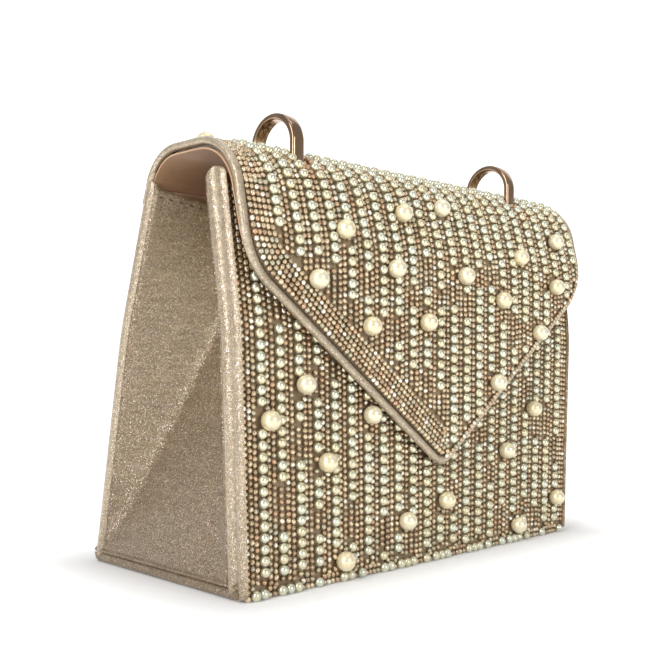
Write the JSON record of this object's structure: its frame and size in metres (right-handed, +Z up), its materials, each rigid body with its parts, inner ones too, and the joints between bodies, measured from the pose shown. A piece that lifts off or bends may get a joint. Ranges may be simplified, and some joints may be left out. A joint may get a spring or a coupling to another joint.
{
  "type": "evening bag",
  "caption": "Small structured evening bag covered in pearl and seed beadwork, with folded side gussets, a pointed envelope flap and two strap rings.",
  "frame": {"origin": "on the floor, under the middle of the bag's width, on the underside of the base", "axes": "+X along the bag's width to the right as seen from the front, -Y out of the front, +Z up"},
  "size_m": [0.2024, 0.1003, 0.1645],
  "materials": {
    "lame": "metallic cloth with glitter",
    "lining": "satin",
    "beads": "glossy",
    "board": "matt",
    "gold": "polished",
    "magnet": "plated",
    "pearl": "pearlescent"
  },
  "bodies": {
    "body": {"base_cover": "lame", "front_left_binding": "lame", "front_right_binding": "lame", "rear_left_binding": "lame", "rear_right_binding": "lame", "front_top_binding": "lame", "left_base_binding": "lame", "right_base_binding": "lame", "left_gusset": "lame", "right_gusset": "lame", "rear_cover": "lame", "base_lining": "lining", "front_lining": "lining", "rear_lining": "lining", "left_gusset_lining": "lining", "right_gusset_lining": "lining", "slip_pocket": "lining", "front_beadwork": "beads", "base_board": "board", "front_board": "board", "rear_board": "board", "front_magnet": "magnet", "front_pearl_01": "pearl", "front_pearl_02": "pearl", "front_pearl_03": "pearl", "front_pearl_04": "pearl", "front_pearl_05": "pearl", "front_pearl_06": "pearl", "front_pearl_07": "pearl", "front_pearl_08": "pearl", "front_pearl_09": "pearl", "front_pearl_10": "pearl", "front_pearl_11": "pearl"},
    "flap": {"flap_board": "board", "flap_beadwork": "beads", "flap_rear_cover": "lame", "flap_lining": "lining", "flap_piping": "lame", "flap_magnet": "magnet", "left_ring": "gold", "right_ring": "gold", "left_ring_tab": "lining", "right_ring_tab": "lining", "flap_pearl_01": "pearl", "flap_pearl_02": "pearl", "flap_pearl_03": "pearl", "flap_pearl_04": "pearl", "flap_pearl_05": "pearl", "flap_pearl_06": "pearl", "flap_pearl_07": "pearl", "flap_pearl_08": "pearl", "flap_pearl_09": "pearl", "flap_pearl_10": "pearl", "flap_pearl_11": "pearl", "flap_pearl_12": "pearl", "flap_pearl_13": "pearl", "flap_pearl_14": "pearl"}
  },
  "joints": [
    {"name": "flap_hinge", "type": "hinge", "parent": "body", "child": "flap", "pos_m": [0, 0.00558, 0.13767], "axis": [-1, 0, 0], "range_deg": [0, 180]}
  ]
}
